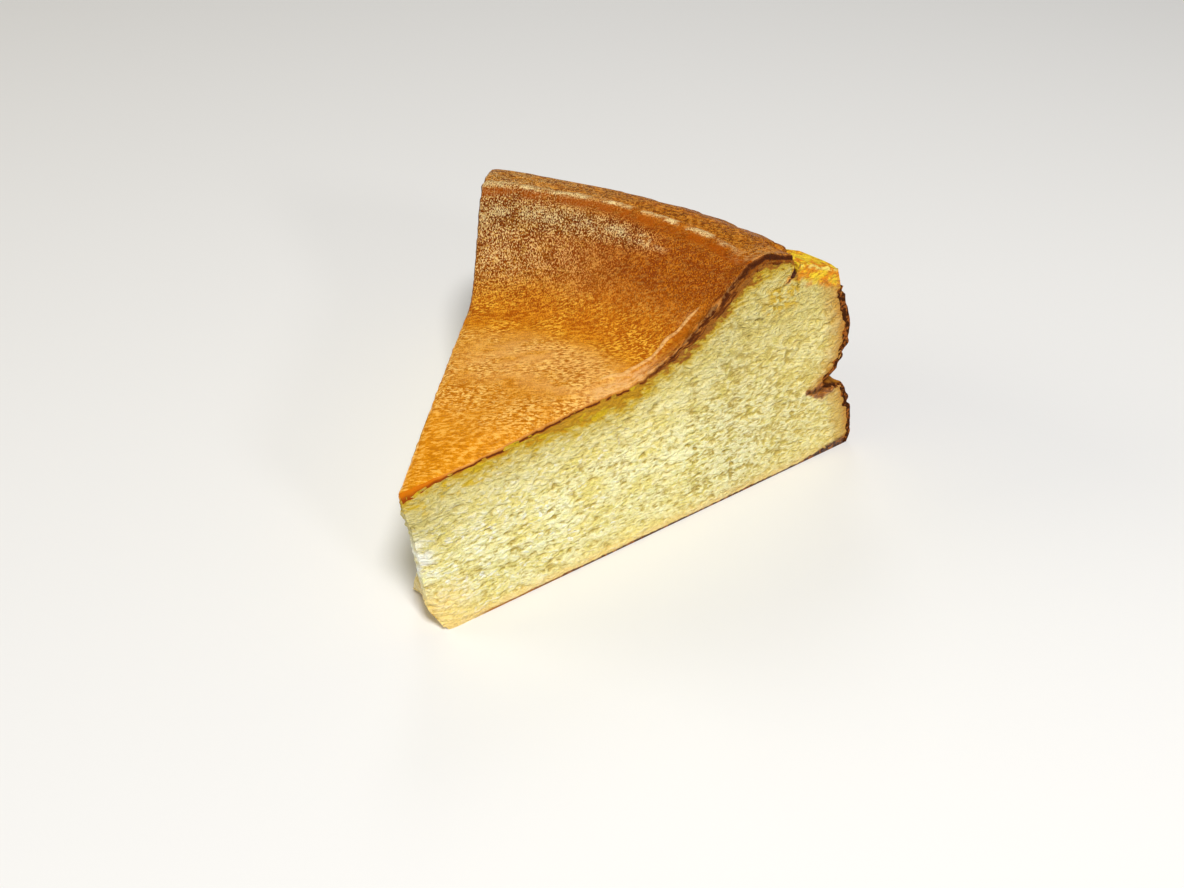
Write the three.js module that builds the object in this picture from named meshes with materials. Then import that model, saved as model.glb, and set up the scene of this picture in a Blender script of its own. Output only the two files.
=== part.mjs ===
// A slice of basque cheesecake, kept as it was cut: one closed solid.
// Millimetres, +Z up. The slice rests on its flat base at z = 0 with its tip towards -Y.
//
// The slice is one radial section of the cake, swept from the left cut face to the right one.
// A section is worked out in the cake's own plane: r runs out from the middle, z runs up.
// "across" says where a section stands: -1 on the left cut face, +1 on the right one.

import * as THREE from "three";
import { mergeVertices } from "three/addons/utils/BufferGeometryUtils.js";

// The cake, and the two cuts through it.
const CAKE_RADIUS = 100;
const SLICE_ANGLE = THREE.MathUtils.degToRad(50);
const RIGHT_LEAN = 3.1; // how far the right cut stands out at the base

// The sunken top: a low middle, a shallow bowl, then the slope up to the risen rim.
const TIP_HEIGHT = 33.2;
const BOWL_RADIUS = 38;
const LEFT_TOP = { bowl: 34.3, slopeStart: 54, crestRadius: 77, crestHeight: 51 };
const RIGHT_TOP = { bowl: 36.9, slopeStart: 49, crestRadius: 77.5, crestHeight: 49.7 };
const RIM_DIP = 1.1; // how far the rim sinks between the two cuts
const CREST_SAG = 1.1; // how far the top falls from its crest to the skin's end
const SKIN_END = 84.4;

// By the right cut the top's edge curls up along the rim, and sags along the bowl.
const EDGE_REACH = 2.4;
const RIM_CURL = { height: 2.1, radius: 75, spread: 7 };
const BOWL_SAG = { depth: 1, from: 2, full: 16, until: 46, gone: 52 };

// The side: a foot that bulges, a fold left by the baking paper, and the wall above it.
const FOOT_BULGE = 0.3;
const FOOT_ROUND = 0.4;
const FAR_FOLD = { radius: 98.4, height: 16.6 };
const RIGHT_FOLD = { radius: 92.4, height: 17.9 };
const WALL_TOP_RADIUS = 96;
const WALL_TOP = 38.9;
const PAPER_FOLDS = 7; // upright folds round the side of the slice
const PAPER_FOLD_DEPTH = 0.7;

// The broken edge by the right cut: the skin curls up and leaves a lower ledge behind it.
const LEDGE_WIDTH = 0.24; // as a share of half the slice, inwards from the right cut
const LEDGE_CORNER = { radius: 95.4, height: 42 };
const LEDGE_TOP = { radius: 85.4, height: 46.7 };
const CRACK_DEPTH = 5;
const CRACK_SLANT = 3;

// The tip: set back a little all the way up, with a blunt foot that is chipped on the left.
const TIP_SET_BACK = 1;
const RIGHT_CHIP = { reach: 2.7, height: 5.5 };
const LEFT_CHIP = { reach: 8.1, height: 13 };
const LEFT_FOOT = { spread: 4.2, height: 13, lip: 10, lipDepth: 3, reach: 24 };

// How finely the surface is cut up.
const SECTIONS = 22;
const COLUMNS = 24; // from the tip out to the crest
const ROWS = 9; // from the base up to the top
const RIM_STEPS = 4; // from the crest out to the skin's end, and below it along the base
const SIDE_STEPS = 9;
const SHOULDER_STEPS = 6;

const { lerp, smoothstep, clamp } = THREE.MathUtils;
const point = (r, z) => new THREE.Vector2(r, z);

// 0 on the left cut face, 1 on the right one.
const towardsRight = (across) => (across + 1) / 2;

// 1 on the right cut face, falling to 0 where the broken ledge ends.
const nearLedge = (across) => smoothstep(across, 1 - 2 * LEDGE_WIDTH, 1 - 0.2 * LEDGE_WIDTH);

// 1 on the right cut face, falling to 0 where the paper's fold has closed.
const nearFold = (across) => smoothstep(across, -0.2, 1);

// How far the top's edge stands above the rest of the top, by the right cut.
function edgeRise(r, across) {
  const fromCut = (r * SLICE_ANGLE * (1 - across)) / 2;
  const curl = RIM_CURL.height * Math.exp(-(((r - RIM_CURL.radius) / RIM_CURL.spread) ** 2));
  const started = smoothstep(r, BOWL_SAG.from, BOWL_SAG.full);
  const sag = BOWL_SAG.depth * started * (1 - smoothstep(r, BOWL_SAG.until, BOWL_SAG.gone));
  return (curl - sag) * Math.exp(-((fromCut / EDGE_REACH) ** 2));
}

// The height of the browned top at a distance r from the middle of the cake.
function topHeight(r, across) {
  const t = towardsRight(across);
  const bowlHeight = lerp(LEFT_TOP.bowl, RIGHT_TOP.bowl, smoothstep(t, 0, 1));
  const slopeStart = lerp(LEFT_TOP.slopeStart, RIGHT_TOP.slopeStart, t);
  const crestRadius = lerp(LEFT_TOP.crestRadius, RIGHT_TOP.crestRadius, t);
  const evenCrest = lerp(RIGHT_TOP.crestHeight, LEFT_TOP.crestHeight, (1 - t) ** 3);
  const crestHeight = evenCrest - RIM_DIP * (1 - across ** 2);
  const rise = clamp(r / BOWL_RADIUS, 0, 1);
  const bowl = lerp(TIP_HEIGHT, bowlHeight, rise * (1.3 - 0.3 * rise));
  const slope = (crestHeight - bowlHeight) * smoothstep(r, slopeStart, crestRadius);
  const past = clamp((r - crestRadius) / (SKIN_END - crestRadius), 0, 1);
  return bowl + slope - CREST_SAG * past * past + edgeRise(r, across);
}

// How far the tip's edge stands back from the middle of the cake, at a height z.
function tipSetBack(z, across) {
  const t = towardsRight(across);
  const reach = lerp(LEFT_CHIP.reach, RIGHT_CHIP.reach, t);
  const height = lerp(LEFT_CHIP.height, RIGHT_CHIP.height, t);
  const chip = clamp(1 - z / height, 0, 1);
  return TIP_SET_BACK * smoothstep(TIP_HEIGHT - z, 0, 12) + reach * chip ** 1.2;
}

// The part of a section from the tip out to the crest, as upright columns of points.
function columns(across) {
  const crestRadius = RIGHT_TOP.crestRadius;
  const grid = [];
  for (let j = 0; j <= COLUMNS; j++) {
    const column = [];
    for (let k = 0; k <= ROWS; k++) {
      const up = k / ROWS;
      const r = lerp(tipSetBack(TIP_HEIGHT * up, across), crestRadius, j / COLUMNS);
      column.push(point(r, topHeight(r, across) * up));
    }
    grid.push(column);
  }
  return grid;
}

// The base, from under the crest out to the foot of the side.
function rimBase() {
  const from = RIGHT_TOP.crestRadius;
  const outline = [];
  for (let i = 1; i < RIM_STEPS; i++) {
    outline.push(point(lerp(from, CAKE_RADIUS - FOOT_ROUND, i / RIM_STEPS), 0));
  }
  return outline;
}

// The folds that crumpled paper leaves down the side.
function paperFold(across, z) {
  const wave = Math.cos(PAPER_FOLDS * Math.PI * across + 0.09 * z);
  return PAPER_FOLD_DEPTH * wave * Math.cos(2.3 * Math.PI * across) * smoothstep(z, 3, 14);
}

// The side of the cake from the base up to the wall's top.
function side(across) {
  const folded = nearFold(across);
  const between = (farR, farZ, rightR, rightZ) =>
    point(lerp(farR, rightR, folded), lerp(farZ, rightZ, folded));
  const foot = new THREE.SplineCurve([
    point(CAKE_RADIUS - FOOT_ROUND, 0),
    point(CAKE_RADIUS + FOOT_BULGE, 2.5),
    between(100.3, 8, 100.2, 7),
    between(99.7, 14, 99.2, 12.6),
    between(99, 16.2, 97.8, 15.9),
  ]);
  const wall = new THREE.SplineCurve([
    between(97, 18.2, 95.6, 19.9),
    between(97.4, 23, 97.3, 22.6),
    between(97.8, 26.6, 98.1, 27.5),
    between(97, 33.3, 97.1, 34.3),
    point(WALL_TOP_RADIUS, WALL_TOP),
  ]);
  const foldEnd = between(
    FAR_FOLD.radius, FAR_FOLD.height,
    RIGHT_FOLD.radius, RIGHT_FOLD.height,
  );
  const outline = [
    ...foot.getPoints(SIDE_STEPS),
    foldEnd,
    ...wall.getPoints(SIDE_STEPS),
  ];
  return outline.map(({ x, y }) => point(x + paperFold(across, y), y));
}

// From the wall's top to the skin's end: a round shoulder, or the broken ledge and its crack.
function shoulder(across) {
  const broken = nearLedge(across);
  const start = point(WALL_TOP_RADIUS + paperFold(across, WALL_TOP), WALL_TOP);
  const end = point(SKIN_END, topHeight(SKIN_END, across));
  const round = new THREE.CubicBezierCurve(
    start,
    point(start.x - 0.3, lerp(start.y, end.y, 0.26)),
    point(lerp(start.x, end.x, 0.46), lerp(start.y, end.y, 0.6)),
    point(end.x + 0.6, end.y - 0.2),
  );
  const corner = point(LEDGE_CORNER.radius, LEDGE_CORNER.height);
  const ledgeTop = point(LEDGE_TOP.radius, LEDGE_TOP.height);
  const outline = round.getPoints(SHOULDER_STEPS).slice(1);
  for (const [i, p] of outline.entries()) {
    p.lerp(corner.clone().lerp(ledgeTop, i / (SHOULDER_STEPS - 1)), broken);
  }
  const crack = point(end.x + 0.3, end.y - 0.1);
  crack.lerp(point(end.x - CRACK_SLANT, end.y - CRACK_DEPTH), broken);
  return [...outline, crack];
}

// The rounded rim, from the skin's end back to the crest.
function rimTop(across) {
  const outline = [];
  for (let i = 0; i < RIM_STEPS; i++) {
    const r = lerp(SKIN_END, RIGHT_TOP.crestRadius, i / RIM_STEPS);
    outline.push(point(r, topHeight(r, across)));
  }
  return outline;
}

// One whole section: its grid of columns, and its outline, anticlockwise from the tip's foot.
function section(across) {
  const grid = columns(across);
  const rim = [...rimBase(), ...side(across), ...shoulder(across), ...rimTop(across)];
  const outline = [
    ...grid.map((column) => column[0]),
    ...rim,
    ...grid.map((column) => column[ROWS]).reverse(),
    ...grid[0].slice(1, ROWS).reverse(),
  ];
  // What the columns leave of a cut face: the rim, closed by the last column.
  const rimFace = [grid[COLUMNS][0], ...rim, ...grid[COLUMNS].slice(1).reverse()];
  return { grid, outline, rimFace };
}

// How far the left cut stands out: only the chipped foot of the tip spreads.
function leftStandOut(r, z) {
  const low = clamp(1 - z / LEFT_FOOT.height, 0, 1);
  const lip = smoothstep(LEFT_FOOT.lip - z, 0, LEFT_FOOT.lipDepth);
  return LEFT_FOOT.spread * low * lip * (1 - smoothstep(r, 8, LEFT_FOOT.reach));
}

// Where a point of a section stands in space: turned about the cake's middle, then leant out.
function place({ x: r, y: z }, across) {
  const half = SLICE_ANGLE / 2;
  const turn = across * half;
  const left = new THREE.Vector2(-Math.cos(half), -Math.sin(half));
  const right = new THREE.Vector2(Math.cos(half), -Math.sin(half));
  left.multiplyScalar(leftStandOut(r, z));
  right.multiplyScalar(RIGHT_LEAN * (1 - z / TIP_HEIGHT));
  const lean = left.lerp(right, towardsRight(across));
  return new THREE.Vector3(r * Math.sin(turn) + lean.x, r * Math.cos(turn) + lean.y, z);
}

// Sections stand closer together towards the right cut, where the edge is broken.
function acrossAt(i) {
  const t = i / SECTIONS;
  return 2 * (1 - (1 - t) ** 1.35) - 1;
}

function sliceGeometry() {
  const positions = [];
  const triangle = (...corners) => {
    const [a, b, c] = corners;
    const flat = a.distanceTo(b) < 1e-4 || b.distanceTo(c) < 1e-4 || c.distanceTo(a) < 1e-4;
    if (!flat) positions.push(...corners.flatMap((p) => p.toArray()));
  };

  // The outside of the cake, between one section and the next.
  const outlineAt = (i) => {
    const across = acrossAt(i);
    return section(across).outline.map((p) => place(p, across));
  };
  for (let i = 0; i < SECTIONS; i++) {
    const [here, next] = [outlineAt(i), outlineAt(i + 1)];
    for (let j = 0; j < here.length; j++) {
      const k = (j + 1) % here.length;
      triangle(here[j], here[k], next[k]);
      triangle(here[j], next[k], next[j]);
    }
  }

  // The two cut faces. The left one is wound the other way round.
  for (const across of [-1, 1]) {
    const { grid, rimFace } = section(across);
    const face = (...corners) => {
      const placed = corners.map((p) => place(p, across));
      triangle(...(across < 0 ? placed.reverse() : placed));
    };
    for (let j = 0; j < COLUMNS; j++) {
      for (let k = 0; k < ROWS; k++) {
        face(grid[j][k], grid[j + 1][k], grid[j + 1][k + 1]);
        face(grid[j][k], grid[j + 1][k + 1], grid[j][k + 1]);
      }
    }
    for (const [a, b, c] of THREE.ShapeUtils.triangulateShape(rimFace, [])) {
      face(rimFace[a], rimFace[b], rimFace[c]);
    }
  }

  const soup = new THREE.BufferGeometry();
  soup.setAttribute("position", new THREE.Float32BufferAttribute(positions, 3));
  const geometry = mergeVertices(soup, 1e-4);
  geometry.computeBoundingBox();
  const { min, max } = geometry.boundingBox;
  geometry.translate(-(min.x + max.x) / 2, -(min.y + max.y) / 2, -min.z);
  geometry.computeVertexNormals();
  return geometry;
}

const crumb = new THREE.MeshStandardMaterial({
  name: "baked_cream_cheese",
  color: "#e3d19b",
  roughness: 0.6,
  metalness: 0,
});

const slice = new THREE.Mesh(sliceGeometry(), crumb);
slice.name = "cheesecake_slice";

const group = new THREE.Group();
group.name = "basque_cheesecake_slice";
group.add(slice);

export default group;
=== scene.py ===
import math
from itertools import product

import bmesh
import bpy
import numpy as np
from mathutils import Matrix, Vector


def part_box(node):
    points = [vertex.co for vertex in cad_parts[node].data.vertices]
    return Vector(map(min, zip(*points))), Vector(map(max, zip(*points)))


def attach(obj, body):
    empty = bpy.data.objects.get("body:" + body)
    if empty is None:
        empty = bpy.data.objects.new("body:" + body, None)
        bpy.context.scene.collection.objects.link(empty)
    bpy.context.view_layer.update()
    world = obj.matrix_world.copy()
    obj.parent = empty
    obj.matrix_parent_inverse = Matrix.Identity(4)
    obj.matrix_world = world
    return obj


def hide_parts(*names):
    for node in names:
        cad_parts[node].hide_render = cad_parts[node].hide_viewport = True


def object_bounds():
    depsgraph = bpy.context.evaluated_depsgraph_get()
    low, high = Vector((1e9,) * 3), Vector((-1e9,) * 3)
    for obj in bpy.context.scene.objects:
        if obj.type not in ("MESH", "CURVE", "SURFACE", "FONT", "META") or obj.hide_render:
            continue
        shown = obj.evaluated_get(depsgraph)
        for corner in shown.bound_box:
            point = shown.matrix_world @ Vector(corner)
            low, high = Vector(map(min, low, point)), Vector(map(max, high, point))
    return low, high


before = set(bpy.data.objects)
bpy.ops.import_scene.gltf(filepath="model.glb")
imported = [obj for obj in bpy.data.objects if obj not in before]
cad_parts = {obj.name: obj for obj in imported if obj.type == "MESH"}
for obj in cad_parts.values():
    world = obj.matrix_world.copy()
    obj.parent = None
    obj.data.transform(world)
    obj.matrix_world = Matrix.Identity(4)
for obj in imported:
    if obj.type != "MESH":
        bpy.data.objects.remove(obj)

# A slice of basque cheesecake. Two pieces dress the one CAD solid: the cut crumb, and the
# browned skin that lies over its top and runs down its side as the crust.
#
# Shapes are worked out in millimetres in the cake's own frame: its upright axis is the
# origin and the base is z = 0. "across" runs from -1 on the left cut to +1 on the right
# one, and r is the distance out from the axis. Meshes are put down in metres.

cad_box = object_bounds()
low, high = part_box("cheesecake_slice")
MM = 0.001
AXIS_FROM_MIDDLE = Vector((-1.2918, -49.9005))  # from the middle of the slice to the cake's axis
CAKE_AXIS = ((low + high) / 2).xy / MM + AXIS_FROM_MIDDLE

# ---------------------------------------------------------------- sizes, in millimetres

HALF_ANGLE = math.radians(25)  # half of the angle between the cuts
RIGHT_LEAN = 3.1  # how far the right cut leans out at its foot

TIP_HEIGHT = 33.2
LEFT_CHIP = (8.1, 13)  # how far back the tip's foot is chipped at the left cut, and how high
RIGHT_CHIP = (2.7, 5.5)
FOOT_SPREAD = 4.2  # how far the tip's foot spreads out on the left
FOOT_SPREAD_HEIGHT = 13

BOWL_RADIUS = 38
LEFT_TOP = (34.3, 54, 77, 51)  # bowl height, start of the slope, crest radius, crest height
RIGHT_TOP = (36.9, 49, 77.5, 49.7)
RIM_DIP = 1.1  # how far the rim dips between the cuts
CREST_SAG = 1.1  # how far the top falls from the crest to the skin's end
SKIN_END = 84.4  # how far out the top ends and the shoulder starts
EDGE_CURL = 2.1  # how far the top's edge curls up by the right cut
EDGE_REACH = 2.4  # how far in from that cut the edge curls or sags

WALL_TOP = (96, 38.9)  # how far out and how high the wall ends and the shoulder starts
PAPER_FOLDS = 7
PAPER_FOLD_DEPTH = 0.7

LEDGE_REACH = (0.52, 0.952)  # where along "across" the broken ledge starts and is full

SKIN = 1.1  # thickness of the browned skin
SKIN_PROUD = 0.16  # how far the skin's cut edge stands out of the cut


def mix(a, b, t):
    """a where t is 0, b where it is 1."""
    return a + (b - a) * t


def ease(x, start, end):
    """0 before start, 1 after end, smooth between."""
    t = np.clip((x - start) / (end - start), 0, 1)
    return t * t * (3 - 2 * t)


def hump(x, middle, width):
    """1 in the middle, falling smoothly towards 0 over about twice the width."""
    return np.exp(-(((x - middle) / width) ** 2))


# ---------------------------------------------------------------- unevenness

WORD = np.uint64(0xFFFFFFFF)


def cell_number(cell, salt):
    """A repeatable number from 0 to 1 for each whole-numbered cell."""
    x, y, z = np.moveaxis(cell.astype(np.int64).astype(np.uint64), -1, 0)
    n = x * np.uint64(374761393) + y * np.uint64(668265263) + z * np.uint64(2246822519)
    n = (n + np.uint64(salt * 974634777)) & WORD
    n = ((n ^ (n >> np.uint64(13))) * np.uint64(1274126177)) & WORD
    n = ((n ^ (n >> np.uint64(15))) * np.uint64(2654435761)) & WORD
    return (n ^ (n >> np.uint64(16))) / float(WORD)


def swells(points, size, salt=0):
    """Smooth rises and hollows, about -1 to 1, each about as wide as size."""
    scaled = points / np.asarray(size, float)
    cell = np.floor(scaled)
    near = scaled - cell
    weight = near**3 * (near * (near * 6 - 15) + 10)
    total = 0
    for corner in np.array(list(product((0, 1), repeat=3))):
        share = np.prod(np.where(corner == 1, weight, 1 - weight), axis=-1)
        for i in range(3):
            lean = 2 * cell_number(cell + corner, 3 * salt + i) - 1
            total = total + share * lean * (near[..., i] - corner[i])
    return 1.6 * total


def curds(points, size, salt=0):
    """Distance to the middle of the nearest curd, and how far the next one is beyond it."""
    scaled = points / np.asarray(size, float)
    cell = np.floor(scaled)
    nearest = np.full(cell.shape[:-1], 9.0)
    second = nearest.copy()
    for corner in np.array(list(product((-1, 0, 1), repeat=3))):
        there = cell + corner
        gap = [
            there[..., i] + cell_number(there, 3 * salt + i) - scaled[..., i]
            for i in range(3)
        ]
        distance = np.sqrt(sum(g * g for g in gap))
        second = np.minimum(second, np.maximum(nearest, distance))
        nearest = np.minimum(nearest, distance)
    return nearest, second - nearest


# ---------------------------------------------------------------- the section of the cake


def smooth_line(points, count):
    """A smooth line through the points, as count + 1 points."""
    points = np.array(points, float)
    last = len(points) - 1
    place = np.linspace(0, last, count + 1)
    i = np.minimum(place.astype(int), last - 1)
    t = (place - i)[:, None]
    p0, p1 = points[np.maximum(i - 1, 0)], points[i]
    p2, p3 = points[i + 1], points[np.minimum(i + 2, last)]
    slope_in, slope_out = (p2 - p0) / 2, (p3 - p1) / 2
    square, cube = t * t, t**3
    return (
        (2 * cube - 3 * square + 1) * p1
        + (cube - 2 * square + t) * slope_in
        + (3 * square - 2 * cube) * p2
        + (cube - square) * slope_out
    )


def bezier(points, count):
    """The curve of four control points, as count + 1 points."""
    p0, p1, p2, p3 = np.array(points, float)
    t = np.linspace(0, 1, count + 1)[:, None]
    s = 1 - t
    return s**3 * p0 + 3 * s * s * t * p1 + 3 * s * t * t * p2 + t**3 * p3


def near_ledge(across):
    """1 on the right cut, falling to 0 where the broken ledge ends."""
    return float(ease(across, *LEDGE_REACH))


def edge_rise(r, across):
    """How far the top's edge curls up, or sags where this is below 0, by the right cut."""
    curl = EDGE_CURL * hump(r, 75, 7)
    sag = ease(r, 2, 16) * (1 - ease(r, 46, 52))
    return (curl - sag) * hump(r * HALF_ANGLE * (1 - across), 0, EDGE_REACH)


def top_height(r, across):
    """The height of the browned top."""
    t = (across + 1) / 2
    bowl_height = mix(LEFT_TOP[0], RIGHT_TOP[0], ease(t, 0, 1))
    slope_start = mix(LEFT_TOP[1], RIGHT_TOP[1], t)
    crest_radius = mix(LEFT_TOP[2], RIGHT_TOP[2], t)
    crest_height = mix(RIGHT_TOP[3], LEFT_TOP[3], (1 - t) ** 3) - RIM_DIP * (1 - across**2)
    # The bowl climbs a little from the tip and levels out, then slopes up to the crest.
    rise = np.clip(r / BOWL_RADIUS, 0, 1)
    bowl = mix(TIP_HEIGHT, bowl_height, rise * (1.3 - 0.3 * rise))
    slope = (crest_height - bowl_height) * ease(r, slope_start, crest_radius)
    past = np.clip((r - crest_radius) / (SKIN_END - crest_radius), 0, 1)
    return bowl + slope - CREST_SAG * past * past + edge_rise(r, across)


def tip_set_back(z, across):
    """How far the tip's edge stands back from the middle of the cake."""
    t = (across + 1) / 2
    reach, height = (mix(left, right, t) for left, right in zip(LEFT_CHIP, RIGHT_CHIP))
    chip = np.clip(1 - z / height, 0, 1)
    return ease(TIP_HEIGHT - z, 0, 12) + reach * chip**1.2


def paper_fold(across, z):
    """The upright folds that crumpled paper leaves down the side."""
    wave = np.cos(PAPER_FOLDS * math.pi * across + 0.09 * z)
    return PAPER_FOLD_DEPTH * wave * math.cos(2.3 * math.pi * across) * ease(z, 3, 14)


def side_line(across, count):
    """The outside of the side, from the top of its wall down to the base."""
    folded = float(ease(across, -0.2, 1))

    def between(far, right):
        return mix(np.array(far, float), np.array(right, float), folded)

    foot = [
        (99.6, 0),
        (100.3, 2.5),
        between((100.3, 8), (100.2, 7)),
        between((99.7, 14), (99.2, 12.6)),
        between((99, 16.2), (97.8, 15.9)),
    ]
    fold = between((98.4, 16.6), (92.4, 17.9))
    wall = [
        between((97, 18.2), (95.6, 19.9)),
        between((97.4, 23), (97.3, 22.6)),
        between((97.8, 26.6), (98.1, 27.5)),
        between((97, 33.3), (97.1, 34.3)),
        WALL_TOP,
    ]
    foot_line, wall_line = smooth_line(foot, 60), smooth_line(wall, 60)
    share = np.linspace(0, 1, 24)[1:, None]
    fold_in = mix(foot_line[-1], fold, share)
    fold_out = mix(fold, wall_line[0], share[:-1])
    line = np.vstack([foot_line, fold_in, fold_out, wall_line])[::-1]
    line[:, 0] += paper_fold(across, line[:, 1])
    return along(line, count)


def along(line, count):
    """The same line, as count + 1 points evenly spaced along it."""
    steps = np.hypot(*np.diff(line, axis=0).T)
    place = np.concatenate([[0], np.cumsum(steps)])
    wanted = np.linspace(0, place[-1], count + 1)
    return np.column_stack([np.interp(wanted, place, line[:, i]) for i in range(2)])


def shoulder_line(across, count):
    """The rounded rim where it is whole, from the end of the top out to the wall."""
    end = np.array((SKIN_END, top_height(SKIN_END, across)))
    start = np.array(WALL_TOP) + (paper_fold(across, WALL_TOP[1]), 0)
    line = bezier(
        [
            end,
            (mix(start[0], end[0], 0.46), mix(start[1], end[1], 0.6)),
            (start[0] - 0.3, mix(start[1], end[1], 0.26)),
            start,
        ],
        60,
    )
    return along(line, count)


def inwards(line):
    """For each point of a line that runs outwards and down, the way into the cake."""
    way = np.gradient(line, axis=0)
    way /= np.maximum(np.hypot(way[:, 0], way[:, 1]), 1e-9)[:, None]
    return np.column_stack([way[:, 1], -way[:, 0]])


def stand(r, z, across, inset=0.0):
    """Where points of a section stand, turned about the axis and leant out.

    inset draws the points in from both cuts.
    """
    turn = across * HALF_ANGLE
    t = (across + 1) / 2
    spread = np.clip(1 - z / FOOT_SPREAD_HEIGHT, 0, 1) * ease(10 - z, 0, 3)
    left = FOOT_SPREAD * spread * (1 - ease(r, 8, 24)) - inset
    right = RIGHT_LEAN * (1 - z / TIP_HEIGHT) - inset
    lean_x = math.cos(HALF_ANGLE) * (t * right - (1 - t) * left)
    lean_y = -math.sin(HALF_ANGLE) * (t * right + (1 - t) * left)
    return np.stack([r * np.sin(turn) + lean_x, r * np.cos(turn) + lean_y, z], axis=-1)


# ---------------------------------------------------------------- meshes


def lattice(name, counts):
    """A closed block of quads from -1 to 1, cut into that many steps along each axis."""
    bm = bmesh.new()
    bmesh.ops.create_cube(bm, size=2)
    for axis, count in enumerate(counts):
        ways = [e for e in bm.edges if abs((e.verts[0].co - e.verts[1].co)[axis]) > 1.5]
        bmesh.ops.subdivide_edges(bm, edges=ways, cuts=count - 1, use_grid_fill=True)
    # The block's own edges stay sharp.
    for edge in bm.edges:
        edge.smooth = edge.calc_face_angle() < 1
    mesh = bpy.data.meshes.new(name)
    bm.to_mesh(mesh)
    bm.free()
    return mesh


def places(mesh):
    """Where a mesh's vertices are."""
    co = np.empty(len(mesh.vertices) * 3, np.float32)
    mesh.vertices.foreach_get("co", co)
    return co.reshape(-1, 3).astype(float)


def show(name, data, place=None):
    """Puts a camera, a lamp or a mesh into the scene."""
    shown = bpy.data.objects.new(name, data)
    if place:
        shown.matrix_world = place
    bpy.context.scene.collection.objects.link(shown)
    return shown


def put_down(mesh, points, values, finish):
    """Moves the mesh's vertices to their places, and gives it its values and finish."""
    placed = points.copy()
    placed[:, 0] += CAKE_AXIS[0]
    placed[:, 1] += CAKE_AXIS[1]
    mesh.vertices.foreach_set("co", (placed * MM).astype(np.float32).ravel())
    for name, value in values.items():
        layer = mesh.attributes.new(name, "FLOAT", "POINT")
        layer.data.foreach_set("value", np.asarray(value, np.float32))
    mesh.materials.append(finish)
    mesh.update()
    bm = bmesh.new()
    bm.from_mesh(mesh)
    bmesh.ops.recalc_face_normals(bm, faces=bm.faces)
    for face in bm.faces:
        face.smooth = True
    bm.to_mesh(mesh)
    bm.free()
    return show(mesh.name, mesh)


# ---------------------------------------------------------------- the crumb

CRUMB_STEPS = (344, 18, 118)  # out from the tip, across between the cuts, and up
UNDER_SKIN = (0.55, 2.4)  # how far the crumb lies under the skin, at the cuts and between them
# Lines in the section, as how far out and how high each point is.
LEDGE = ((83.9, 47.8), (84.8, 44.8), (85.6, 46.7), (88.9, 45.2), (92, 43.9), (95.0, 42.6))
CRACK = ((85.0, 46.6), (84.2, 45.6), (83.2, 44.3), (81.6, 43.2))
FOLD_SEAM = ((93.8, 16.8), (91.6, 16.0), (90, 16.4), (87.8, 17.3))


def crumb_outline(across):
    """The crumb's top line and wall line in one section, just under the skin."""
    broken = near_ledge(across)
    under = mix(*UNDER_SKIN, float(ease(1 - abs(across), 0.0, 0.1)))
    r = np.concatenate([np.linspace(0.2, 83.6, 400), np.linspace(83.6, SKIN_END, 12)[1:]])
    top = np.column_stack([r, top_height(r, across)])
    shoulder = shoulder_line(across, 80)[1:]
    line = np.vstack([top, shoulder])
    # At the cuts it makes room for the thicker skin of the crest and the tip.
    thick_skin = 1.6 * hump(line[:, 0], 71, 11) * ease(across, 0.97, 1)
    thick_skin += 1.2 * (1 - ease(line[:, 0], 2, 9)) * ease(abs(across), 0.97, 1)
    line = line + (under + thick_skin)[:, None] * inwards(line)
    # The top line ends part of the way down the shoulder, where the wall line starts.
    corner = len(top) + 50
    line = line[:corner]
    # The broken ledge: a notch behind the skin's end, then the bare top of the wall.
    ledge_z = np.interp(line[:, 0], *zip(*LEDGE))
    line[:, 1] = np.where(line[:, 0] > LEDGE[0][0], mix(line[:, 1], ledge_z, broken), line[:, 1])
    line[-1] = mix(line[-1], np.array(LEDGE[-1]), broken)
    side = side_line(across, 160)
    # The wall stays inside the crust where the side folds in.
    heights = np.linspace(0, WALL_TOP[1], 300)
    around = (-0.6, -0.3, 0, 0.3, 0.6)
    wall = np.min(
        [np.interp(heights + d, side[::-1, 1], side[::-1, 0]) for d in around], axis=0
    ) - under
    keep = heights < line[-1, 1] - 1.2
    wall = np.vstack([np.column_stack([wall, heights])[keep], line[-1]])
    return line, wall


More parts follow.
